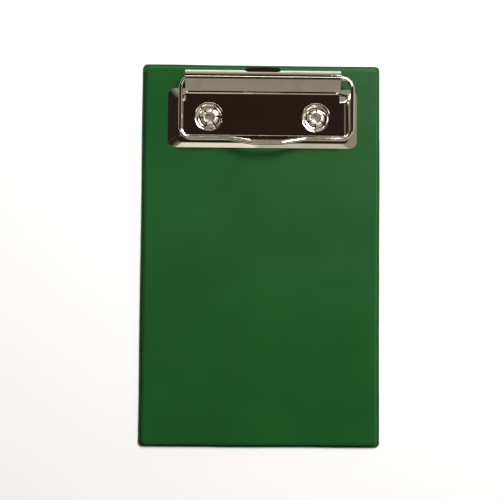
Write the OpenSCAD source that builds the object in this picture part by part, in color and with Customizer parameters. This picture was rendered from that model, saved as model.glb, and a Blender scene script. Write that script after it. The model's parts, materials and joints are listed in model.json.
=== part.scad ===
// Pocket memo clipboard: a vinyl-covered board with a pressed clip plate,
// a sprung wire bail and a pull-out hanging loop.
// The board lies on its back, +Y runs towards the clip, and z = 0 is the back face.

/* [Board] */
// Width of the covered board
board_w = 119.5; // [100:0.5:160]
// Length of the covered board
board_l = 191; // [150:1:260]
// Thickness of the greyboard inside
core_t = 2.5; // [1.8:0.1:4]
// Thickness of each vinyl sheet
film_t = 0.3; // [0.2:0.05:0.5]
// Welded border outside the greyboard
border_w = 2.3; // [1.8:0.1:4]
// Radius of the board's corners
corner_r = 2; // [1:0.1:6]

/* [Clip plate] */
// Sideways place of the whole clip on the board
clip_x = 0.6; // [0:0.1:2]
// Width of the clip plate
plate_w = 94.6; // [94:0.1:98]
// Length of the clip plate, front to back
plate_l = 29.7; // [29.7:0.1:34]
// From the board's top edge to the back of the plate
plate_back = 12.6; // [12:0.1:14]
// Thickness of the sheet steel
sheet_t = 0.8; // [0.6:0.05:0.9]
// Width of the steep skirt round the plate
skirt_w = 3.3; // [3:0.1:3.6]
// Height of the steep skirt
skirt_h = 1.7; // [1.6:0.05:1.8]
// Width of the gentle shoulder inside the skirt at the front and back
shoulder_w = 3.7; // [3.4:0.1:3.7]
// Width of the gentle shoulder at the two sides
side_w = 5.7; // [5:0.1:6]
// Height of the flat middle above the board
plateau_h = 2.6; // [2.5:0.05:2.7]
// Radius of the plate's corners
plate_r = 3; // [1:0.1:5]

/* [Spring curl] */
// Width of the curl that holds the wire
curl_w = 76.5; // [74:0.1:77]
// Outer radius of the curl
curl_r = 3.4; // [3.4:0.05:3.6]
// Angle round which the sheet is curled, from its lowest line
curl_sweep = 210; // [200:1:220]
// Length of the straight lip in front of the curl
lip_l = 6; // [3:0.1:6.4]
// Width of the slot in the back of the curl
slot_w = 18.3; // [14:0.1:24]

/* [Rivets] */
// Distance between the two rivets
rivet_pitch = 53.2; // [50:0.1:56]
// Diameter of the pressed dimple at the plateau
dimple_d = 14.1; // [13:0.1:14.1]
// Diameter of the split clinch
rosette_d = 9.3; // [8:0.1:10]
// Bore of the tubular rivet
rivet_bore = 4.4; // [3.6:0.1:4.6]
// Petals of each clinch
petals = 7; // [5:1:9]

/* [Wire bail] */
// Diameter of the spring wire
wire_d = 2.1; // [1.8:0.05:2.1]
// Distance between the middles of the two legs
bail_w = 85; // [84:0.1:86]
// Sideways place of the bail within its play
bail_shift = 1.9; // [0:0.1:1.9]
// From the pivot to the clamping run
bail_reach = 30.3; // [29:0.1:30.6]
// Height of the clamping run above the board
run_h = 4.3; // [3.9:0.1:4.8]
// Width of the flat part of the thumb lift
lift_flat = 13.8; // [8:0.2:20]
// Length of each ramp of the thumb lift
lift_ramp = 12.6; // [10:0.2:14]

/* [Hanging loop] */
// Thickness of the loop
loop_t = 0.6; // [0.5:0.05:0.7]
// Width of the loop's tongue
tongue_w = 20.6; // [20.4:0.1:24]
// Distance between the tips of the stop bar
stop_w = 40.4; // [39:0.1:40.6]

/* [Hidden] */
$fn = 64;

front_z = core_t + 2 * film_t;            // face of the front cover, which the clip stands on
gap = 0.05;                               // clearance round a fitted shank
eps = 0.01;
over = 1;                                 // how far a cut runs past its face

// covers
flange_w = 1.5;                           // flat weld outside the raised panel
panel_lean = 0.6;                         // how far the panel's sides lean in
panel_steps = [[0, 0], [panel_lean, front_z - film_t]];

// rivets
rivet_r = rivet_bore / 2 + 0.35;
head_r = 5;
head_t = 0.55;
dish_t = 0.6;                             // depth to which the rivet's head sinks into the back
dish_r = head_r + 0.2;
dish_wall = 0.9;
clinch_h = 0.8;
slit_w = 0.5;
rivet_turn = 20;                          // the right rivet's petals against the left one's

// clip plate
plate_y = board_l / 2 - plate_back - plate_l / 2;
side_steps = [[0, 0], [skirt_w, skirt_h], [skirt_w + side_w, plateau_h]];
end_steps = [[0, 0], [skirt_w, skirt_h], [skirt_w + shoulder_w, plateau_h]];
dimple_floor_r = 5.2;
rim_r = dimple_d / 2 + 0.8;               // where a dimple's wall leaves the underside
under_h = plateau_h - sheet_t;            // height of the hollow under the plateau
plate_end = plate_y + plate_l / 2;
tab_start = plate_end - skirt_w - shoulder_w;

// curl and pivot
curl_y = plate_end + 4.3;
curl_h = under_h + curl_r;
pivot = [clip_x, curl_y, front_z + curl_h];
slot_h = 4.1;
lip_inset = 0.02;                         // lets the lip's faces start inside the curl's sheet

// bail
bail_tilt = asin((curl_h - run_h) / bail_reach);
corner_bend = 5.5;
pivot_bend = 6;
lift_back = 2.25;                          // how far the thumb lift stands forward of the run
lift_up = 2.2;                            // how far it stands above the run
lift_bend = 5;
crank_off = 1.45;                         // offset of the sprung tips inside the curl
crank_l = 5;
crank_bend = 1.8;
crank_turn = 15;                          // direction of the offset above straight forward
tip_l = 9;
crank_start = 6;
joint_ball = 0.02;

// hanging loop
loop_z = front_z + 0.3;
bow_y = board_l / 2 - 1.8;
bow_w = 0.95;
bow_r = 106;
eye_l = 4.6;
eye_r = 2.2;
stop_bar_l = 1.8;
loop_front = plate_y - plate_l / 2 + 4.4;

// ---- helpers ----

module rounded(w, l, r) {
    square([w, l - 2 * r], center = true);
    square([w - 2 * r, l], center = true);
    for (sx = [-1, 1], sy = [-1, 1])
        translate([sx * (w / 2 - r), sy * (l / 2 - r)]) circle(r);
}

module rounded_slab(w, l, r, z0, z1) {
    translate([0, 0, z0]) linear_extrude(z1 - z0) rounded(w, l, r);
}

// Section of a block whose sides follow [inset, height] steps, carried down by depth
function step_section(size, steps, depth) = concat(
    [[-size / 2 + steps[0][0], -depth]],
    [for (s = steps) [-size / 2 + s[0], s[1]]],
    [for (i = [len(steps) - 1:-1:0]) [size / 2 - steps[i][0], steps[i][1]]],
    [[size / 2 - steps[0][0], -depth]]);

module stepped_block(w, l, sides, ends, depth) {
    intersection() {
        rotate([90, 0, 0]) linear_extrude(l + 2 * over, center = true)
            polygon(step_section(w, sides, depth));
        rotate([90, 0, 90]) linear_extrude(w + 2 * over, center = true)
            polygon(step_section(l, ends, depth));
    }
}

// Places its children at the two rivets of a clip that is centred on x = 0
module at_rivets() {
    for (s = [-1, 1]) translate([s * rivet_pitch / 2, plate_y, 0]) children();
}

module on_board() {
    translate([clip_x, 0, 0]) children();
}

module rivet_holes() {
    at_rivets() translate([0, 0, -over]) cylinder(r = rivet_r + gap, h = front_z + 2 * over);
}

// A straight length of wire, from which the next piece goes on
module wire(l) {
    cylinder(d = wire_d, h = l);
    translate([0, 0, l]) children();
}

// A bend of the wire towards direction roll, from which the next piece goes on.
// A ball a hair thicker than the wire closes the joint at each end.
module wire_bend(a, r, roll = 0) {
    sphere(d = wire_d + joint_ball);
    rotate([0, 0, roll]) {
        translate([r, 0, 0]) rotate([90, 0, 0]) rotate([0, 0, 180 - a])
            rotate_extrude(angle = a) translate([r, 0]) circle(d = wire_d);
        translate([r, 0, 0]) rotate([0, a, 0]) translate([-r, 0, 0]) {
            sphere(d = wire_d + joint_ball);
            rotate([0, 0, -roll]) children();
        }
    }
}

// Two opposite bends of radius r with a straight between them, which carry the wire
// sideways by off over the length l
module wire_offset(l, off, r, roll) {
    d = norm([l, off - 2 * r]);
    a = atan2(off - 2 * r, l) + asin(2 * r / d);
    wire_bend(a, r, roll) wire(sqrt(d * d - 4 * r * r)) wire_bend(a, r, roll + 180) children();
}

// ---- board ----

module core_board() {
    color("burlywood") difference() {
        rounded_slab(board_w - 2 * border_w, board_l - 2 * border_w, corner_r / 2,
                     film_t, film_t + core_t);
        on_board() rivet_holes();
        on_board() at_rivets() cylinder(r = dish_r + dish_wall, h = dish_t + film_t);
    }
}

module front_cover() {
    color("darkgreen") difference() {
        union() {
            rounded_slab(board_w, board_l, corner_r, film_t, 2 * film_t);
            intersection() {
                translate([0, 0, film_t])
                    stepped_block(board_w - 2 * flange_w, board_l - 2 * flange_w,
                                  panel_steps, panel_steps, 0);
                rounded_slab(board_w - 2 * flange_w, board_l - 2 * flange_w, corner_r,
                             0, front_z + over);
            }
        }
        rounded_slab(board_w - 2 * border_w, board_l - 2 * border_w, corner_r / 2,
                     -over, film_t + core_t);
        on_board() rivet_holes();
    }
}

module back_cover() {
    color("green") difference() {
        union() {
            rounded_slab(board_w, board_l, corner_r, 0, film_t);
            on_board() at_rivets() cylinder(r = dish_r + dish_wall, h = dish_t + film_t);
        }
        on_board() rivet_holes();
        on_board() at_rivets() translate([0, 0, -over]) cylinder(r = dish_r, h = dish_t + over);
    }
}

// ---- clip plate ----

module plate_pressing() {
    difference() {
        intersection() {
            stepped_block(plate_w, plate_l, side_steps, end_steps, 0);
            rounded_slab(plate_w, plate_l, plate_r, -over, plateau_h + over);
        }
        translate([0, 0, -sheet_t]) stepped_block(plate_w, plate_l, side_steps, end_steps, over);
    }
}

module dimple() {
    rotate_extrude() polygon([
        [rivet_r + gap, 0], [dimple_floor_r + 0.5, 0], [rim_r, under_h], [rim_r, plateau_h],
        [dimple_d / 2, plateau_h], [dimple_floor_r, sheet_t], [rivet_r + gap, sheet_t]]);
}

// Side view of the curl: y to the right of the section's x, z up
module curl_section() {
    end = curl_sweep - 90;
    in_r = curl_r - sheet_t;
    translate([tab_start, under_h]) square([curl_y - tab_start, sheet_t]);
    translate([curl_y, curl_h]) {
        difference() {
            circle(curl_r);
            circle(in_r);
            translate([-2 * curl_r, -2 * curl_r]) square(2 * curl_r);
            rotate(end) square(2 * curl_r);
        }
        rotate(end) translate([in_r + lip_inset, -sheet_t / 2])
            square([sheet_t - 2 * lip_inset, lip_l + sheet_t / 2]);
    }
}

module base_plate() {
    color("silver") translate([clip_x, 0, front_z]) difference() {
        union() {
            difference() {
                translate([0, plate_y, 0]) plate_pressing();
                at_rivets() translate([0, 0, -over])
                    cylinder(r = rim_r, h = plateau_h + 2 * over);
                translate([-curl_w / 2, tab_start, -over])
                    cube([curl_w, plate_l, plateau_h + 2 * over]);
            }
            at_rivets() dimple();
            rotate([90, 0, 90]) linear_extrude(curl_w, center = true) curl_section();
        }
        curl_slot();
    }
}

// Slot with round ends through the back of the curl
module curl_slot() {
    translate([0, curl_y + 1.2, curl_h]) rotate([-90, 0, 0])
        linear_extrude(curl_r) rounded(slot_w, slot_h, slot_h / 2 - eps);
}

// ---- rivets ----

module rivet() {
    seat = front_z + sheet_t;
    top = seat + clinch_h;
    difference() {
        rotate_extrude() polygon([
            [0, dish_t - head_t], [head_r - 0.3, dish_t - head_t], [head_r, dish_t - head_t / 2],
            [head_r, dish_t], [rivet_r, dish_t], [rivet_r, seat], [rosette_d / 2, seat],
            [rosette_d / 2, seat + 0.3], [rosette_d / 2 - 0.6, top - 0.1],
            [rivet_bore / 2 + 0.6, top], [rivet_bore / 2, top - 0.4],
            [rivet_bore / 2, dish_t + 0.5], [0, dish_t + 0.5]]);
        for (i = [0:petals - 1]) rotate(i * 360 / petals)
            translate([rivet_r + 0.5, -slit_w / 2, seat - eps])
                cube([rosette_d / 2, slit_w, clinch_h + over]);
    }
}

module rivet_left() {
    color("gainsboro") on_board() translate([-rivet_pitch / 2, plate_y, 0]) rivet();
}

module rivet_right() {
    color("gainsboro") on_board() translate([rivet_pitch / 2, plate_y, 0]) rotate(rivet_turn) rivet();
}

// ---- wire bail ----

// One half of the bail, from the middle of the thumb lift to the sprung tip in the curl
module bail_half() {
    run = bail_w / 2 - lift_flat / 2 - lift_ramp - corner_bend;
    lift = norm([lift_back, lift_up]);
    translate([0, -bail_reach - lift_back, lift_up]) rotate([90, 0, 90])
        wire(lift_flat / 2)
        wire_offset(lift_ramp, lift, lift_bend, atan2(-lift_up, lift_back))
        wire(run)
        wire_bend(90, corner_bend)
        wire(bail_reach - corner_bend - pivot_bend)
        wire_bend(90, pivot_bend)
        wire(crank_start)
        wire_offset(crank_l, crank_off, crank_bend, crank_turn)
        wire(tip_l);
}

module wire_bail() {
    color("lightgray") translate(pivot + [bail_shift, 0, 0]) rotate([bail_tilt, 0, 0]) {
        bail_half();
        mirror([1, 0, 0]) bail_half();
    }
}

// ---- hanging loop ----

module hanging_loop() {
    tongue_l = bow_y - loop_front;
    color("whitesmoke") translate([clip_x, 0, loop_z]) linear_extrude(loop_t) difference() {
        intersection() {
            union() {
                translate([-tongue_w / 2, loop_front]) square([tongue_w, tongue_l]);
                translate([-stop_w / 2, loop_front]) square([stop_w, stop_bar_l]);
            }
            translate([0, bow_y - bow_r]) circle(bow_r, $fn = 360);
        }
        translate([0, bow_y - bow_w - eye_l / 2]) rounded(slot_w, eye_l, eye_r);
    }
}

core_board();
front_cover();
back_cover();
base_plate();
rivet_left();
rivet_right();
wire_bail();
hanging_loop();
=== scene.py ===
import json
import math
import bmesh
import bpy
from mathutils import Matrix, Vector


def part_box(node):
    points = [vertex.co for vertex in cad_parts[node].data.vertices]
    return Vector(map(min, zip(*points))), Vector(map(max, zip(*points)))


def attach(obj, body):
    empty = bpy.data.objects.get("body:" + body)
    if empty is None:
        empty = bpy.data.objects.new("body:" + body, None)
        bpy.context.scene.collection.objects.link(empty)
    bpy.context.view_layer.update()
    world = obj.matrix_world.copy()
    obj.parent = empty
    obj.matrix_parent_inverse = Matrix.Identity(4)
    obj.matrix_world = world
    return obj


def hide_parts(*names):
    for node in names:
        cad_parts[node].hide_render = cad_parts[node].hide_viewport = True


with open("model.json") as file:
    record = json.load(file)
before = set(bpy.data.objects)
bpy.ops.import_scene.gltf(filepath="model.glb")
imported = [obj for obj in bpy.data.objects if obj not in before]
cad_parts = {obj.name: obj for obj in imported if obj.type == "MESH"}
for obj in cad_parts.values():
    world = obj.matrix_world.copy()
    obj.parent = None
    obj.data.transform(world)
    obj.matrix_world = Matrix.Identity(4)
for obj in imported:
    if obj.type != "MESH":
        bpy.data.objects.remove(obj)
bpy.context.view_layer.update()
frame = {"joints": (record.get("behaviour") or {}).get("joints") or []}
mm = 0.001
boardLow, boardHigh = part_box("front_cover")
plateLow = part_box("base_plate")[0]
loopLow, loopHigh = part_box("hanging_loop")
hinge = next(j for j in frame["joints"] if j["name"] == "bail_hinge")
pivot = Vector(hinge["pos_m"])
boardFace = boardHigh.z
rivetSpots = {}                            # middle of each rivet on the board's face
for side in ("left", "right"):
    low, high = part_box("rivet_" + side)
    rivetSpots[side] = Vector(((low.x + high.x) / 2, (low.y + high.y) / 2, boardFace))
print("frame loaded, board", [round(v / mm, 2) for v in boardHigh - boardLow])


# short names for the steps of work on a mesh
def clearSelection():
    if bpy.context.object and bpy.context.object.mode != "OBJECT":
        bpy.ops.object.mode_set(mode="OBJECT")
    bpy.ops.object.select_all(action="DESELECT")


def begin(name, primitive, **settings):    # a new primitive, left in edit mode
    clearSelection()
    primitive(**settings)
    piece = bpy.context.object
    piece.name = piece.data.name = name
    bpy.ops.object.transform_apply(location=True, rotation=True, scale=True)
    bpy.ops.object.mode_set(mode="EDIT")
    return piece


def end(piece):                            # back to object mode, with the place in the mesh
    clearSelection()
    piece.select_set(True)
    bpy.context.view_layer.objects.active = piece
    bpy.ops.object.transform_apply(location=True, rotation=True, scale=True)
    return piece


# selects the verts, edges or faces whose middle passes the test
def pick(kind, test):
    work = bmesh.from_edit_mesh(bpy.context.object.data)
    mode = {"verts": "VERT", "edges": "EDGE", "faces": "FACE"}[kind]
    bpy.ops.mesh.select_mode(type=mode)
    bpy.ops.mesh.select_all(action="DESELECT")
    for part in getattr(work, kind):
        if kind == "verts":
            middle = part.co
        elif kind == "edges":
            middle = (part.verts[0].co + part.verts[1].co) / 2
        else:
            middle = part.calc_center_bounds()
        if test(part, middle):
            part.select_set(True)
    work.select_flush_mode()
    bmesh.update_edit_mesh(bpy.context.object.data)


def slide(x=0, y=0, z=0):
    bpy.ops.transform.translate(value=(x, y, z))


def extrudeBy(x=0, y=0, z=0):
    bpy.ops.mesh.extrude_region_move(TRANSFORM_OT_translate={"value": (x, y, z)})


def scaleBy(x, y, z, about):
    bpy.ops.transform.resize(value=(x, y, z), center_override=about)


def cut(point, normal):                    # scores the whole mesh along a plane
    bpy.ops.mesh.select_all(action="SELECT")
    bpy.ops.mesh.bisect(plane_co=point, plane_no=normal, threshold=1e-7)


def finishWith(piece, kind, **settings):   # adds a modifier and applies it
    end(piece)
    modifier = piece.modifiers.new(kind.title(), kind)
    for name, value in settings.items():
        setattr(modifier, name, value)
    bpy.ops.object.modifier_apply(modifier=modifier.name)


def carve(piece, tool, operation):         # a boolean that uses the tool up
    finishWith(piece, "BOOLEAN", operation=operation, solver="EXACT", object=tool)
    bpy.data.objects.remove(tool)


def box(name, low, high, cornerRadius=0, segments=8):
    piece = begin(name, bpy.ops.mesh.primitive_cube_add, size=1)
    size = Vector(high) - Vector(low)
    scaleBy(size.x, size.y, size.z, (0, 0, 0))
    slide(*((Vector(low) + Vector(high)) / 2))
    if cornerRadius:
        pick("edges", lambda e, m: abs((e.verts[0].co - e.verts[1].co).z) > size.z * 0.9)
        bpy.ops.mesh.bevel(offset=cornerRadius, segments=segments, affect="EDGES")
    return end(piece)


def drum(name, spot, low, high, radius, sides=64):
    piece = begin(name, bpy.ops.mesh.primitive_cylinder_add, vertices=sides, radius=radius,
                  depth=high - low, location=(spot.x, spot.y, (low + high) / 2))
    return end(piece)


def smooth(piece, degrees):
    end(piece)
    bpy.ops.object.shade_smooth_by_angle(angle=math.radians(degrees))
    finishWith(piece, "WEIGHTED_NORMAL", keep_sharp=True, weight=100)


def place(piece, body, slot, material, *nodes):
    piece.data.materials.clear()
    piece.data.materials.append(material)
    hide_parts(*nodes)
    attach(piece, body)
    print(piece.name, len(piece.data.polygons), "faces")


class Shade:                               # a node's output that can be used in sums
    def __init__(self, tree, socket=None):
        self.tree, self.socket = tree, socket

    def add(self, kind, settings, inputs, output=0):
        node = self.tree.nodes.new(kind)
        for name, value in settings.items():
            if name == "stops":
                while len(node.color_ramp.elements) < len(value):
                    node.color_ramp.elements.new(0.5)
                for stop, (at, colour) in zip(node.color_ramp.elements, value):
                    stop.position, stop.color = at, colour
            else:
                setattr(node, name, value)
        for name, value in inputs.items():
            if isinstance(value, Shade):
                self.tree.links.new(value.socket, node.inputs[name])
            else:
                node.inputs[name].default_value = value
        return Shade(self.tree, node.outputs[output])

    def sum(self, operation, first, second):
        return self.add("ShaderNodeMath", {"operation": operation}, {0: first, 1: second})

    def __add__(self, other): return self.sum("ADD", self, other)
    def __radd__(self, other): return self.sum("ADD", other, self)
    def __sub__(self, other): return self.sum("SUBTRACT", self, other)
    def __rsub__(self, other): return self.sum("SUBTRACT", other, self)
    def __mul__(self, other): return self.sum("MULTIPLY", self, other)
    def __rmul__(self, other): return self.sum("MULTIPLY", other, self)

    def held(self, low, high):             # 0 below low, 1 above high
        return self.add("ShaderNodeMapRange", {"interpolation_type": "SMOOTHSTEP"},
                        {"Value": self, "From Min": low, "From Max": high})

    def noise(self, where, scale, detail=2, roughness=0.5):
        return self.add("ShaderNodeTexNoise", {}, {
            "Vector": where, "Scale": scale, "Detail": detail, "Roughness": roughness})

    def blendColours(self, factor, first, second):
        return self.add("ShaderNodeMix", {"data_type": "RGBA"},
                        {0: factor, 6: first, 7: second}, 2)

    def stretched(self, where, size, turn=(0, 0, 0)):
        return self.add("ShaderNodeMapping", {}, {
            "Vector": where, "Scale": size, "Rotation": turn})


def newMaterial(name, constants):          # (material, its sums, its shader)
    material = bpy.data.materials.new(name)
    material.use_nodes = True
    shader = material.node_tree.nodes["Principled BSDF"]
    for socket, value in constants.items():
        shader.inputs[socket].default_value = value
    return material, Shade(material.node_tree), shader


def objectPlace(sums):
    return sums.add("ShaderNodeTexCoord", {}, {}, 3)


def feed(sums, shader, socket, value):
    sums.tree.links.new(value.socket, shader.inputs[socket])


# layers are (height from 0 to 1, depth in metres), the coarse one first
def bumped(sums, shader, *layers):
    normal = None
    for height, depth in layers:
        inputs = {"Strength": 1.0, "Distance": depth, "Height": height}
        if normal:
            inputs["Normal"] = normal
        normal = sums.add("ShaderNodeBump", {}, inputs)
    feed(sums, shader, "Normal", normal)


view = {
    "lens": 50.0,
    "place": (-8.83, -11.39, 347.99),      # mm
    "turn": (2.2244, -0.6374, 0.4575),     # degrees
}
cameraData = bpy.data.cameras.new("camera")
camera = bpy.data.objects.new("camera", cameraData)
bpy.context.scene.collection.objects.link(camera)
cameraData.lens = view["lens"]
cameraData.sensor_width = 36
cameraData.clip_start, cameraData.clip_end = 0.01, 20
camera.location = Vector(view["place"]) * mm
camera.rotation_euler = [math.radians(a) for a in view["turn"]]
bpy.context.scene.camera = camera

lightsAim = Vector((0, 0.05, 0))           # about the middle of the clip
lights = {
    # name: (bearing from +Y towards +X, height angle, distance, width, height, watts, colour)
    "key": (36, 47, 1.1, 0.44, 0.44, 17.3, (1.0, 0.985, 0.965)),
    "overhead": (0, 88, 1.1, 1.2, 0.09, 1.2, (1.0, 0.985, 0.95)),
    "back": (2, 17, 1.2, 1.2, 0.12, 0.42, (1.0, 0.98, 0.9)),
    "frontLeft": (199, 17, 1.2, 0.8, 0.30, 0.50, (1.0, 0.98, 0.9)),
    "frontRight": (160, 17, 1.2, 0.8, 0.30, 0.24, (1.0, 0.98, 0.9)),
    "leftEdge": (268, 55, 1.2, 0.04, 0.9, 0.05, (1.0, 0.97, 0.9)),
}
for name, (bearing, height, distance, width, length, watts, colour) in lights.items():
    lamp = bpy.data.lights.new(name, "AREA")
    lamp.shape = "RECTANGLE"
    lamp.size, lamp.size_y = width, length
    lamp.energy, lamp.color = watts, colour
    holder = bpy.data.objects.new(name, lamp)
    bpy.context.scene.collection.objects.link(holder)
    b, h = math.radians(bearing), math.radians(height)
    away = Vector((math.sin(b) * math.cos(h), math.cos(b) * math.cos(h), math.sin(h)))
    holder.location = lightsAim + away * distance
    holder.rotation_euler = away.to_track_quat("Z", "Y").to_euler()

# a pale horizon and walls under a dark ceiling; the left side is dark all the way down
room = {
    "horizon": (0.55, 0.53, 0.48, 1), "walls": (0.36, 0.34, 0.28, 1),
    "upper": (0.025, 0.0148, 0.0112, 1), "strength": 1.0,
    # each fades out between two heights, or sideways places, of a direction of length 1
    "horizonFade": (0.05, 0.22), "wallFade": (0.68, 0.88), "leftFade": (-0.6, -0.1),
    "leftLight": 0.01,
}
world = bpy.data.worlds.new("studio")
bpy.context.scene.world = world
world.use_nodes = True
sky = Shade(world.node_tree)
direction = sky.add("ShaderNodeTexCoord", {}, {}, 0)
upward = sky.add("ShaderNodeSeparateXYZ", {}, {"Vector": direction}, 2)
sideways = sky.add("ShaderNodeSeparateXYZ", {}, {"Vector": direction}, 0)
lit = room["leftLight"] + (1 - room["leftLight"]) * sideways.held(*room["leftFade"])
walls = (1 - upward.held(*room["wallFade"])) * lit
tone = sky.blendColours(walls, room["upper"], room["walls"])
horizon = (1 - upward.held(*room["horizonFade"])) * lit
tone = sky.blendColours(horizon, tone, room["horizon"])
background = world.node_tree.nodes["Background"]
world.node_tree.links.new(tone.socket, background.inputs["Color"])
background.inputs["Strength"].default_value = room["strength"]
bpy.context.scene.view_settings.view_transform = "Standard"

floorValues = {
    "size": 6.0, "drop": 0.02,             # metres, mm below the board
    "colour": (0.93, 0.94, 0.96, 1), "duller": (0.91, 0.92, 0.94, 1), "patchSize": 3.0,
}
floor = begin("floor", bpy.ops.mesh.primitive_plane_add, size=floorValues["size"],
              location=(0, 0, -floorValues["drop"] * mm))
end(floor)
floorMaterial, sums, shader = newMaterial("paleFloor", {
    "Roughness": 0.9, "Specular IOR Level": 0.1})
where = objectPlace(sums)
feed(sums, shader, "Base Color", sums.blendColours(
    sums.noise(where, floorValues["patchSize"]), floorValues["colour"], floorValues["duller"]))
floor.data.materials.append(floorMaterial)
print("camera, lights and floor ready")


# in the finishes a size counts features to the metre, and a depth is in metres
vinylValues = {
    "colour": (0.0093, 0.073, 0.0148, 1), "lighter": (0.011, 0.082, 0.017, 1), "patchSize": 22,
    "roughness": 0.30, "grainRoughness": 0.08, "scuffRoughness": 0.10, "scuffSize": 120,
    "grainSize": 2600, "grainDepth": 0.000012, "slackSize": 38, "slackDepth": 0.00035,
}


def vinyl(name, values):
    material, sums, shader = newMaterial(name, {"IOR": 1.2, "Specular IOR Level": 0.5})
    where = objectPlace(sums)
    patch = sums.noise(where, values["patchSize"], 3).held(0.35, 0.7)
    feed(sums, shader, "Base Color", sums.blendColours(patch, values["colour"], values["lighter"]))
    grain = sums.noise(where, values["grainSize"], 3, 0.6)
    slack = sums.noise(sums.stretched(where, (1, 1.8, 1), (0, 0, 0.4)), values["slackSize"], 1)
    streaks = sums.stretched(where, (1, 8, 1), (0, 0, 0.7))
    scuff = sums.noise(streaks, values["scuffSize"], 4).held(0.62, 0.75)
    feed(sums, shader, "Roughness", values["roughness"] + values["grainRoughness"] * grain
         + values["scuffRoughness"] * scuff)
    bumped(sums, shader, (slack, values["slackDepth"]), (grain, values["grainDepth"]))
    return material


nickelValues = {
    "colour": (0.74, 0.69, 0.61, 1), "duller": (0.60, 0.55, 0.47, 1),
    "cloudTint": 0.5, "pitTint": 0.4,      # how far each goes to the duller colour
    "roughness": 0.03, "cloudRoughness": 0.02, "lineRoughness": 0.02, "pitRoughness": 0.15,
    "cloudSize": 90, "pitSize": 2300, "lineSize": 3500, "lineDepth": 0.0000015,
    "waveSize": 60, "waveDepth": 0.00012,
}


def nickel(name, **changes):               # the same plating, changed for one piece
    values = dict(nickelValues, **changes)
    material, sums, shader = newMaterial(name, {"Metallic": 1.0})
    where = objectPlace(sums)
    cloud = sums.noise(where, values["cloudSize"], 3)
    pits = sums.noise(where, values["pitSize"], 2).held(0.66, 0.78)
    tint = values["cloudTint"] * cloud.held(0.45, 0.75) + values["pitTint"] * pits
    feed(sums, shader, "Base Color", sums.blendColours(tint, values["colour"], values["duller"]))
    lines = sums.noise(sums.stretched(where, (0.08, 1, 1)), values["lineSize"], 3)
    feed(sums, shader, "Roughness", values["roughness"] + values["cloudRoughness"] * cloud
         + values["lineRoughness"] * lines + values["pitRoughness"] * pits)
    wave = sums.noise(where, values["waveSize"], 1)
    bumped(sums, shader, (wave, values["waveDepth"]), (lines, values["lineDepth"]))
    return material


greyboardValues = {
    # from the dark fibres to the light ones
    "shades": [(0.3, (0.22, 0.20, 0.17, 1)), (0.6, (0.36, 0.33, 0.28, 1)),
               (0.75, (0.45, 0.42, 0.37, 1))],
    "fibreSize": 900, "fibreDepth": 0.00006,
}
greyboardMaterial, sums, shader = newMaterial("greyboard", {"Roughness": 0.95})
where = objectPlace(sums)
fibres = sums.noise(sums.stretched(where, (1, 3, 12)), greyboardValues["fibreSize"], 4)
feed(sums, shader, "Base Color", sums.add(
    "ShaderNodeValToRGB", {"stops": greyboardValues["shades"]}, {"Fac": fibres}))
bumped(sums, shader, (fibres, greyboardValues["fibreDepth"]))

frontVinyl = vinyl("greenVinylFront", vinylValues)
backVinyl = vinyl("greenVinylBack", vinylValues)
sheetNickel = nickel("nickelSheet")
rivetNickel = nickel("nickelRivet", roughness=0.38, waveSize=400, waveDepth=0.00003)
wireNickel = nickel("nickelWire", roughness=0.05, waveSize=150, waveDepth=0.00002)
loopNickel = nickel("nickelLoop")
print("finishes mixed")


boardValues = {                            # shared by the two covers and the core
    "film": 0.3, "cornerRadius": 2.2, "edgeRound": 1.6, "boreRadius": 2.6, "ripple": 0.16,
    "waver": 0.7, "waverSize": 0.06,
}


def rippleField(name, size):
    texture = bpy.data.textures.new(name, "CLOUDS")
    texture.noise_scale = size
    texture.noise_depth = 1
    return texture


def waverEdges(piece, v):                  # the same slightly uneven line for core and covers
    for axis in ("X", "Y"):
        finishWith(piece, "DISPLACE", texture=rippleField("waver" + axis, v["waverSize"]),
                   texture_coords="GLOBAL", direction=axis, strength=v["waver"] * mm,
                   mid_level=0.5)


frontCoverValues = dict(
    boardValues, flange=1.5, rippleSize=0.045, rippleLevel=0.75,
    cell=2.5)                              # spacing of the score lines that let the sheet ripple


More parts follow.
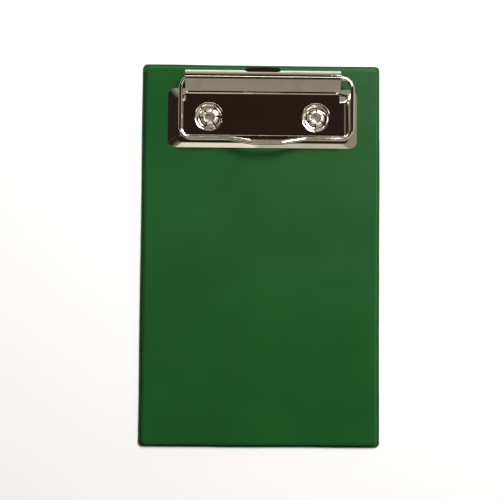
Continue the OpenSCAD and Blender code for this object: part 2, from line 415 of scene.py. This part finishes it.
def buildFrontCover(v):
    low, high = boardLow, boardHigh
    edge = Vector((v["flange"] * mm, v["flange"] * mm, 0))
    flangeTop = low.z + v["film"] * mm
    cover = box("frontCover", Vector((low.x, low.y, flangeTop)) + edge, high - edge,
                v["cornerRadius"] * mm)
    bpy.ops.object.mode_set(mode="EDIT")
    pick("edges", lambda e, m: m.z > high.z - 1e-6 and len(e.link_faces) == 2
         and any(f.normal.z < 0.5 for f in e.link_faces))
    bpy.ops.mesh.bevel(offset=v["edgeRound"] * mm, segments=9, affect="EDGES")
    pick("faces", lambda f, m: f.normal.z < -0.5)
    bpy.ops.mesh.delete(type="FACE")
    pick("edges", lambda e, m: m.z < flangeTop + 1e-6 and len(e.link_faces) == 1)
    extrudeBy()                            # the flange, drawn out from the panel's foot
    scaleBy(high.x / (high.x - edge.x), high.y / (high.y - edge.y), 1, (0, 0, 0))
    for axis, reach in ((0, high.x), (1, high.y)):
        lines = int(2 * reach / (v["cell"] * mm))
        for i in range(1, lines):
            point = [0, 0, 0]
            point[axis] = -reach + 2 * reach * i / lines
            normal = [0, 0, 0]
            normal[axis] = 1
            cut(point, normal)
    end(cover)
    panel = cover.vertex_groups.new(name="panel")
    inner = [p.index for p in cover.data.vertices if p.co.z > flangeTop + v["film"] * mm]
    panel.add(inner, 1.0, "REPLACE")
    finishWith(cover, "DISPLACE", texture=rippleField("slack", v["rippleSize"]),
               texture_coords="GLOBAL", direction="Z", strength=v["ripple"] * mm,
               mid_level=v["rippleLevel"], vertex_group="panel")
    waverEdges(cover, v)
    finishWith(cover, "SOLIDIFY", thickness=v["film"] * mm, offset=-1, use_even_offset=False)
    for spot in rivetSpots.values():
        carve(cover, drum("bore", spot, low.z, high.z + mm, v["boreRadius"] * mm), "DIFFERENCE")
    smooth(cover, 35)
    return cover


# round each rivet the back cover has a raised pad with a sunk dish for the rivet's head
backCoverValues = dict(
    boardValues, padRadius=6.1, dishRadius=5.2, dishDepth=0.6, cutRound=0.06)


def buildBackCover(v):
    low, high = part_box("back_cover")
    film = v["film"] * mm
    cover = box("backCover", (low.x, low.y, low.z), (high.x, high.y, low.z + film),
                v["cornerRadius"] * mm)
    for spot in rivetSpots.values():
        carve(cover, drum("pad", spot, low.z + film / 2, high.z, v["padRadius"] * mm), "UNION")
        carve(cover, drum("dish", spot, low.z - film, low.z + v["dishDepth"] * mm,
                          v["dishRadius"] * mm), "DIFFERENCE")
        carve(cover, drum("bore", spot, low.z, high.z + film, v["boreRadius"] * mm), "DIFFERENCE")
    waverEdges(cover, v)
    finishWith(cover, "BEVEL", width=v["cutRound"] * mm, segments=2, limit_method="ANGLE",
               angle_limit=math.radians(50))
    smooth(cover, 30)
    return cover


coreValues = dict(boardValues, inset=0.1, padHoleRadius=6.2)


def buildCore(v):                          # the greyboard fills the front cover's rounded edge
    low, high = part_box("core_board")
    inset = Vector((v["inset"] * mm, v["inset"] * mm, 0))
    core = box("coreBoard", low + inset, high - inset - Vector((0, 0, v["ripple"] * mm)),
               v["cornerRadius"] * mm)
    bpy.ops.object.mode_set(mode="EDIT")
    pick("edges", lambda e, m: m.z > high.z - v["ripple"] * mm - 1e-6
         and any(f.normal.z < 0.5 for f in e.link_faces))
    bpy.ops.mesh.bevel(offset=(v["edgeRound"] - v["film"]) * mm, segments=6, affect="EDGES")
    end(core)
    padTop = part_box("back_cover")[1].z
    for spot in rivetSpots.values():
        for name, top, radius in (("padHole", padTop, v["padHoleRadius"]),
                                  ("bore", high.z + mm, v["boreRadius"])):
            carve(core, drum(name, spot, low.z - mm, top, radius * mm), "DIFFERENCE")
    waverEdges(core, v)
    smooth(core, 35)
    return core


place(buildCore(coreValues), "board", "greyboard", greyboardMaterial, "core_board")
place(buildFrontCover(frontCoverValues), "board", "vinyl_front", frontVinyl, "front_cover")
place(buildBackCover(backCoverValues), "board", "vinyl_back", backVinyl, "back_cover")


plateValues = {
    "width": 94.6, "length": 29.7, "curlWidth": 76.5, "sheet": 0.8,
    # steep skirt and gentle shoulder round the flat: left and right, front, back
    "skirt": (3.3, 2.05, 3.9), "skirtRise": 1.7,
    "shoulder": (3.4, 3.6, 3.1), "rise": 2.6,
    "cornerWidth": 2.7, "creaseRound": 0.55, "edgeRound": 0.12,
    "curlRadius": 3.4, "curlSweep": 210, "curlSteps": 42, "lip": 6.0,
    # the slot in the curl's back: from below to above the pivot
    "slotWidth": 18.3, "slot": (-2.05, 2.75), "slotRound": 2.0, "slotStart": 1.2,
    # each dimple is cut in a square of the flat
    "rimRadius": 7.25, "squareHalf": 7.5, "squareCuts": 13,
    # dimple from its rim to the rivet's shank: radius, depth
    "dimple": ((7.05, 0.03), (6.75, 0.13), (6.45, 0.34), (6.15, 0.68), (5.9, 1.08), (5.6, 1.46),
               (5.2, 1.7), (4.7, 1.8), (2.6, 1.8)),
}


def drawIn(low, high, steps, rise):        # extrudes the selected top face and draws its sides in
    side, front, back = (n * mm for n in steps)
    newLow, newHigh = low + Vector((side, front, 0)), high - Vector((side, back, 0))
    extrudeBy(z=rise)
    was, now = high - low, newHigh - newLow
    middle = (low + high) / 2
    scaleBy(now.x / was.x, now.y / was.y, 1, middle)
    slide(*((newLow + newHigh) / 2 - middle))
    return newLow, newHigh


def buildClipPlate(v):
    middleX = pivot.x
    sheet = v["sheet"] * mm
    width, length = v["width"] * mm, v["length"] * mm
    half = Vector((width / 2, length / 2, 0))
    middle = Vector((middleX, plateLow.y + length / 2, boardFace))
    plate = begin("clipPlate", bpy.ops.mesh.primitive_plane_add, size=1, location=middle)
    scaleBy(width, length, 1, middle)
    low, high = middle - half, middle + half
    low, high = drawIn(low, high, v["skirt"], v["skirtRise"] * mm)
    low, high = drawIn(low, high, v["shoulder"], (v["rise"] - v["skirtRise"]) * mm)
    top = boardFace + v["rise"] * mm
    pick("faces", lambda f, m: f.normal.z < -0.5)
    bpy.ops.mesh.delete(type="FACE")       # open underneath
    # round the four drawn corners
    pick("edges", lambda e, m: abs((e.verts[0].co - e.verts[1].co).z) > 0.3 * mm
         and m.z < boardFace + v["skirtRise"] * mm)
    bpy.ops.mesh.bevel(offset=v["cornerWidth"] * mm, segments=7, affect="EDGES")
    # score the lines on which the curl and the dimples are cut
    curlHalf = v["curlWidth"] * mm / 2
    for x in (middleX - curlHalf, middleX + curlHalf):
        cut((x, 0, 0), (1, 0, 0))
    reach = v["squareHalf"] * mm
    for spot in rivetSpots.values():
        for x in (spot.x - reach, spot.x + reach):
            cut((x, 0, 0), (1, 0, 0))
    for y in (middle.y - reach, middle.y + reach):
        cut((0, y, 0), (0, 1, 0))
    # the back of the pressing is open between the curl's ends
    pick("faces", lambda f, m: m.y > high.y and abs(m.x - middleX) < curlHalf)
    bpy.ops.mesh.delete(type="FACE")
    # dimples
    for spot in rivetSpots.values():
        centre = Vector((spot.x, middle.y, top))
        pick("faces", lambda f, m: f.normal.z > 0.99 and abs(m.x - spot.x) < reach / 4
             and abs(m.y - middle.y) < reach / 4)
        bpy.ops.mesh.subdivide(number_cuts=v["squareCuts"])
        cell = 2 * reach / (v["squareCuts"] + 1)
        pick("faces", lambda f, m: abs(m.x - spot.x) < reach - cell
             and abs(m.y - middle.y) < reach - cell)
        bpy.ops.mesh.delete(type="FACE")
        pick("edges", lambda e, m: len(e.link_faces) == 1 and abs(m.x - spot.x) < reach
             and abs(m.y - middle.y) < reach)
        bpy.ops.transform.tosphere(value=1, center_override=centre)
        work = bmesh.from_edit_mesh(plate.data)
        ring = [p.co for p in work.verts if p.select]
        radius = sum((p - centre).length for p in ring) / len(ring)
        spread = v["rimRadius"] * mm / radius
        scaleBy(spread, spread, 1, centre)
        radius, depth = v["rimRadius"], 0
        for nextRadius, nextDepth in v["dimple"]:
            extrudeBy(z=(depth - nextDepth) * mm)
            scaleBy(nextRadius / radius, nextRadius / radius, 1, centre)
            radius, depth = nextRadius, nextDepth
    # tab, curl and lip
    pick("edges", lambda e, m: len(e.link_faces) == 1 and m.y > middle.y + 2 * mm
         and abs(m.x - middleX) < curlHalf - 1e-6 and m.z > top - 1e-6)
    extrudeBy(y=pivot.y - high.y)
    bpy.ops.mesh.spin(steps=v["curlSteps"], angle=-math.radians(v["curlSweep"]),
                      center=(middleX, pivot.y, pivot.z), axis=(1, 0, 0))
    slope = math.radians(v["curlSweep"])
    extrudeBy(y=math.cos(slope) * v["lip"] * mm, z=math.sin(slope) * v["lip"] * mm)
    bpy.ops.mesh.select_all(action="SELECT")
    bpy.ops.mesh.remove_doubles(threshold=1e-6)
    bpy.ops.mesh.normals_make_consistent(inside=False)
    end(plate)
    finishWith(plate, "BEVEL", width=v["creaseRound"] * mm, segments=4, limit_method="ANGLE",
               angle_limit=math.radians(5.5), use_clamp_overlap=True)
    # an open sheet can come out with either side up; its thickness goes down from the upper one
    if sum(f.normal.z * f.area for f in plate.data.polygons) < 0:
        bpy.ops.object.mode_set(mode="EDIT")
        bpy.ops.mesh.select_all(action="SELECT")
        bpy.ops.mesh.flip_normals()
        end(plate)
    finishWith(plate, "SOLIDIFY", thickness=sheet, offset=-1, use_even_offset=False)
    slotLow = Vector((middleX - v["slotWidth"] * mm / 2, pivot.y + v["slotStart"] * mm,
                      pivot.z + v["slot"][0] * mm))
    slotHigh = Vector((middleX + v["slotWidth"] * mm / 2, pivot.y + v["curlRadius"] * mm + mm,
                       pivot.z + v["slot"][1] * mm))
    cutter = begin("slot", bpy.ops.mesh.primitive_cube_add, size=1)
    scaleBy(*(slotHigh - slotLow), (0, 0, 0))
    slide(*((slotLow + slotHigh) / 2))
    pick("edges", lambda e, m: abs((e.verts[0].co - e.verts[1].co).y) > mm)
    bpy.ops.mesh.bevel(offset=v["slotRound"] * mm, segments=8, affect="EDGES")
    end(cutter)
    carve(plate, cutter, "DIFFERENCE")
    finishWith(plate, "BEVEL", width=v["edgeRound"] * mm, segments=2, limit_method="ANGLE",
               angle_limit=math.radians(55), use_clamp_overlap=True)
    smooth(plate, 20)
    return plate


place(buildClipPlate(plateValues), "board", "plated_sheet", sheetNickel, "base_plate")


rivetValues = {
    "sides": 60, "petals": 6, "slit": 2, "wall": 0.32,
    # clinch from the bore outwards: radius, height above the plate's dimple floor
    "clinch": ((2.2, -1.2), (2.2, 0.25), (2.32, 0.58), (2.6, 0.78), (3.0, 0.84), (3.5, 0.76),
               (4.05, 0.52), (4.5, 0.2)),
    "splitFrom": 2.7,                      # the petals part outside this radius
    # how far each petal splays and sinks against the next
    "splay": (1.03, 0.93, 1.0, 0.9, 1.05, 0.96),
    "lean": (0.0, 0.12, -0.08, 0.1, -0.1, 0.06),
    "floorHeight": 0.8,                    # dimple floor above the board's face
    "headLift": 0.05, "headRadius": 5.0, "headHeight": 0.55, "headSeat": 0.6, "headRound": 0.22,
    "shankRadius": 2.55, "shankSides": 56, "shankEnd": 0.35, "wellRadius": 2.2, "wellGap": 0.5,
    "turn": {"left": 0.0, "right": 20.0},
}


def buildRivet(name, spot, turn, v):
    floorTop = v["floorHeight"] * mm
    sides, petals = v["sides"], v["petals"]
    share = sides // petals
    rivet = begin(name, bpy.ops.mesh.primitive_circle_add, vertices=sides,
                  radius=v["clinch"][0][0] * mm,
                  location=(0, 0, floorTop + v["clinch"][0][1] * mm))
    bpy.ops.mesh.select_all(action="SELECT")
    radius, height = v["clinch"][0]
    for nextRadius, nextHeight in v["clinch"][1:]:
        extrudeBy(z=(nextHeight - height) * mm)
        scaleBy(nextRadius / radius, nextRadius / radius, 1, (0, 0, 0))
        radius, height = nextRadius, nextHeight

    def turnOf(m):                         # which side of the round a face lies on
        return int((math.degrees(math.atan2(m.y, m.x)) % 360) / (360 / sides))

    pick("faces", lambda f, m: turnOf(m) % share < v["slit"]
         and math.hypot(m.x, m.y) > v["splitFrom"] * mm)
    bpy.ops.mesh.delete(type="FACE")
    for i in range(petals):
        pick("verts", lambda p, m: math.hypot(m.x, m.y) > v["splitFrom"] * 1.05 * mm
             and i * share < (math.degrees(math.atan2(m.y, m.x)) % 360) / (360 / sides) + 0.01
             <= (i + 1) * share + 0.02)
        scaleBy(v["splay"][i], v["splay"][i], 1, (0, 0, floorTop))
        slide(z=v["lean"][i] * mm)
    end(rivet)
    finishWith(rivet, "SOLIDIFY", thickness=v["wall"] * mm, offset=-1)
    finishWith(rivet, "BEVEL", width=0.1 * mm, segments=2, limit_method="ANGLE",
               angle_limit=math.radians(50))
    # shank and the flat head sunk in the back cover
    headLow = v["headLift"] * mm - boardFace
    head = drum("head", Vector((0, 0, 0)), headLow, headLow + v["headHeight"] * mm,
                v["headRadius"] * mm)
    finishWith(head, "BEVEL", width=v["headRound"] * mm, segments=3, limit_method="ANGLE",
               angle_limit=math.radians(50))
    shank = drum("shank", Vector((0, 0, 0)), headLow + 0.3 * mm, floorTop - v["shankEnd"] * mm,
                 v["shankRadius"] * mm, v["shankSides"])
    carve(head, shank, "UNION")
    wellFloor = v["headSeat"] * mm - boardFace + v["wellGap"] * mm
    well = drum("well", Vector((0, 0, 0)), wellFloor, 2 * mm, v["wellRadius"] * mm,
                v["shankSides"])
    carve(head, well, "DIFFERENCE")
    clearSelection()
    head.select_set(True)
    rivet.select_set(True)
    bpy.context.view_layer.objects.active = rivet
    bpy.ops.object.join()
    rivet.rotation_euler.z = math.radians(turn)
    rivet.location = spot
    smooth(rivet, 35)
    return rivet


for side, spot in rivetSpots.items():
    place(buildRivet("rivet" + side.title(), spot, rivetValues["turn"][side], rivetValues),
          "board", "plated_rivet", rivetNickel, "rivet_" + side)


wireValues = {
    "diameter": 2.1, "sides": 24, "shift": 1.9, "width": 85.0, "reach": 30.3, "runHeight": 4.3,
    "cornerBend": 5.5, "pivotBend": 5.6,
    "liftFlat": 13.8, "liftRamp": 12.6, "liftForward": 2.25, "liftUp": 2.2, "liftBend": 5.0,
    "crankStart": 6.0, "crankLength": 5.0, "crankOff": 1.45, "crankBend": 1.8, "crankTurn": 15,
    "tip": 9.0, "tipInset": 0.25,
}


class BenchWire:                           # a wire, pushed straight on or bent as on a bench
    def __init__(self, name, start, diameter, sides):
        self.here = start
        self.piece = begin(name, bpy.ops.mesh.primitive_circle_add, vertices=sides,
                           radius=diameter / 2, location=start.translation,
                           rotation=start.to_euler())
        bpy.ops.mesh.select_all(action="SELECT")

    def push(self, length):
        step = self.here.to_3x3() @ Vector((0, 0, length))
        extrudeBy(*step)
        self.here = self.here @ Matrix.Translation((0, 0, length))

    def bend(self, angle, radius, roll):   # degrees, towards the direction roll round the wire
        turned = self.here @ Matrix.Rotation(math.radians(roll), 4, "Z")
        centre = turned @ Vector((radius, 0, 0))
        axis = turned.to_3x3() @ Vector((0, 1, 0))
        bpy.ops.mesh.spin(steps=max(4, int(angle / 6)), angle=-math.radians(angle),
                          center=centre, axis=axis)
        self.here = (turned @ Matrix.Translation((radius, 0, 0))
                     @ Matrix.Rotation(math.radians(angle), 4, "Y")
                     @ Matrix.Translation((-radius, 0, 0))
                     @ Matrix.Rotation(math.radians(-roll), 4, "Z"))

    def sidestep(self, length, off, radius, roll):   # two opposite bends with a straight between
        reach = math.hypot(length, off - 2 * radius)
        angle = math.degrees(math.atan2(off - 2 * radius, length) + math.asin(2 * radius / reach))
        self.bend(angle, radius, roll)
        self.push(math.sqrt(reach * reach - 4 * radius * radius))
        self.bend(angle, radius, roll + 180)


def buildWireBail(v):
    s = {k: (n if k in ("sides", "crankTurn") else n * mm) for k, n in v.items()}
    drop = pivot.z - boardFace - s["runHeight"]
    tilt = Matrix.Rotation(math.asin(drop / s["reach"]), 4, "X")
    lie = Matrix.Translation((0, -s["reach"] - s["liftForward"], s["liftUp"]))
    facing = Matrix(((0, 0, 1, 0), (1, 0, 0, 0), (0, 1, 0, 0), (0, 0, 0, 1)))
    wire = BenchWire("wireBail", tilt @ lie @ facing, s["diameter"], s["sides"])
    wire.push(s["liftFlat"] / 2)
    lift = math.hypot(s["liftForward"], s["liftUp"])
    roll = math.degrees(math.atan2(-s["liftUp"], s["liftForward"]))
    wire.sidestep(s["liftRamp"], lift, s["liftBend"], roll)
    wire.push(s["width"] / 2 - s["liftFlat"] / 2 - s["liftRamp"] - s["cornerBend"])
    wire.bend(90, s["cornerBend"], 0)
    wire.push(s["reach"] - s["cornerBend"] - s["pivotBend"])
    wire.bend(90, s["pivotBend"], 0)
    wire.push(s["crankStart"])
    wire.sidestep(s["crankLength"], s["crankOff"], s["crankBend"], v["crankTurn"])
    wire.push(s["tip"])
    bpy.ops.mesh.edge_face_add()
    bpy.ops.mesh.inset(thickness=s["tipInset"])
    bpy.ops.mesh.select_all(action="SELECT")
    bpy.ops.mesh.remove_doubles(threshold=1e-6)
    bail = end(wire.piece)
    finishWith(bail, "MIRROR", use_axis=(True, False, False), merge_threshold=1e-5)
    bpy.ops.object.mode_set(mode="EDIT")
    bpy.ops.mesh.select_all(action="SELECT")
    bpy.ops.mesh.normals_make_consistent(inside=False)
    bpy.ops.object.mode_set(mode="OBJECT")
    bail.location = pivot + Vector((s["shift"], 0, 0))
    smooth(bail, 40)
    return bail


place(buildWireBail(wireValues), "bail", "plated_wire", wireNickel, "wire_bail")


loopValues = {
    "tongueWidth": 17.9, "tongueRound": 1.7,
    "stopWidth": 40.4, "stopLength": 1.8, "stopRound": 0.4,
    "bowRadius": 75, "bowSides": 360,
    "eyeWidth": 14.5, "eyeLength": 3.1, "eyeRound": 1.4, "rim": 2.2, "edgeRound": 0.2,
}


def buildHangingLoop(v):
    low, high = loopLow, loopHigh
    x = pivot.x
    reach = v["tongueWidth"] * mm / 2
    loop = box("hangingLoop", (x - reach, low.y, low.z), (x + reach, high.y, high.z),
               v["tongueRound"] * mm)
    stop = v["stopWidth"] * mm / 2
    bar = box("stop", (x - stop, low.y, low.z),
              (x + stop, low.y + v["stopLength"] * mm, high.z), v["stopRound"] * mm, 3)
    carve(loop, bar, "UNION")
    bow = drum("bow", Vector((x, high.y - v["bowRadius"] * mm, 0)), low.z - mm, high.z + mm,
               v["bowRadius"] * mm, v["bowSides"])
    carve(loop, bow, "INTERSECT")
    eye = v["eyeWidth"] * mm / 2
    eyeTop = high.y - v["rim"] * mm
    carve(loop, box("eye", (x - eye, eyeTop - v["eyeLength"] * mm, low.z - mm),
                    (x + eye, eyeTop, high.z + mm), v["eyeRound"] * mm), "DIFFERENCE")
    finishWith(loop, "BEVEL", width=v["edgeRound"] * mm, segments=3, limit_method="ANGLE",
               angle_limit=math.radians(40))
    smooth(loop, 35)
    return loop


place(buildHangingLoop(loopValues), "loop", "plated_loop", loopNickel, "hanging_loop")
